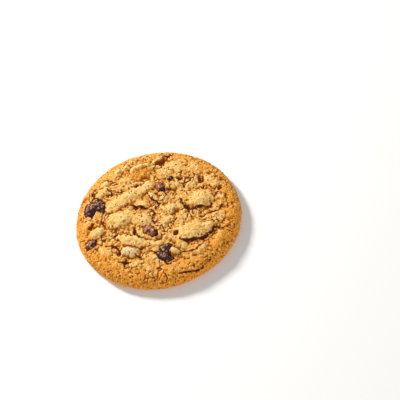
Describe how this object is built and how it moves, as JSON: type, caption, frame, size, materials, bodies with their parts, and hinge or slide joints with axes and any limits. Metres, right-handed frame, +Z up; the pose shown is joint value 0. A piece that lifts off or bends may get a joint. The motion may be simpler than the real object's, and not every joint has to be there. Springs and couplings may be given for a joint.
{
  "type": "chocolate chip cookie",
  "caption": "Round baked chocolate chip cookie, lying flat, with a lumpy cracked golden top, a browned rounded rim and chocolate chips set in its top.",
  "frame": {"origin": "middle of the flat underside, on the surface that the cookie lies on", "axes": "+Z up through the cookie's thickness; +X to the right and -Y to the front of the shown view"},
  "size_m": [0.0924, 0.0917, 0.0115],
  "materials": {
    "baked_dough": "baked dough, golden tan, browner at the rim and underside, dull and grainy",
    "chocolate": "dark chocolate, satin"
  },
  "bodies": {
    "root": {"dough": "baked_dough", "chip_left": "chocolate", "chip_rim": "chocolate", "chip_centre": "chocolate", "chip_front": "chocolate", "chip_back": "chocolate"}
  },
  "joints": []
}
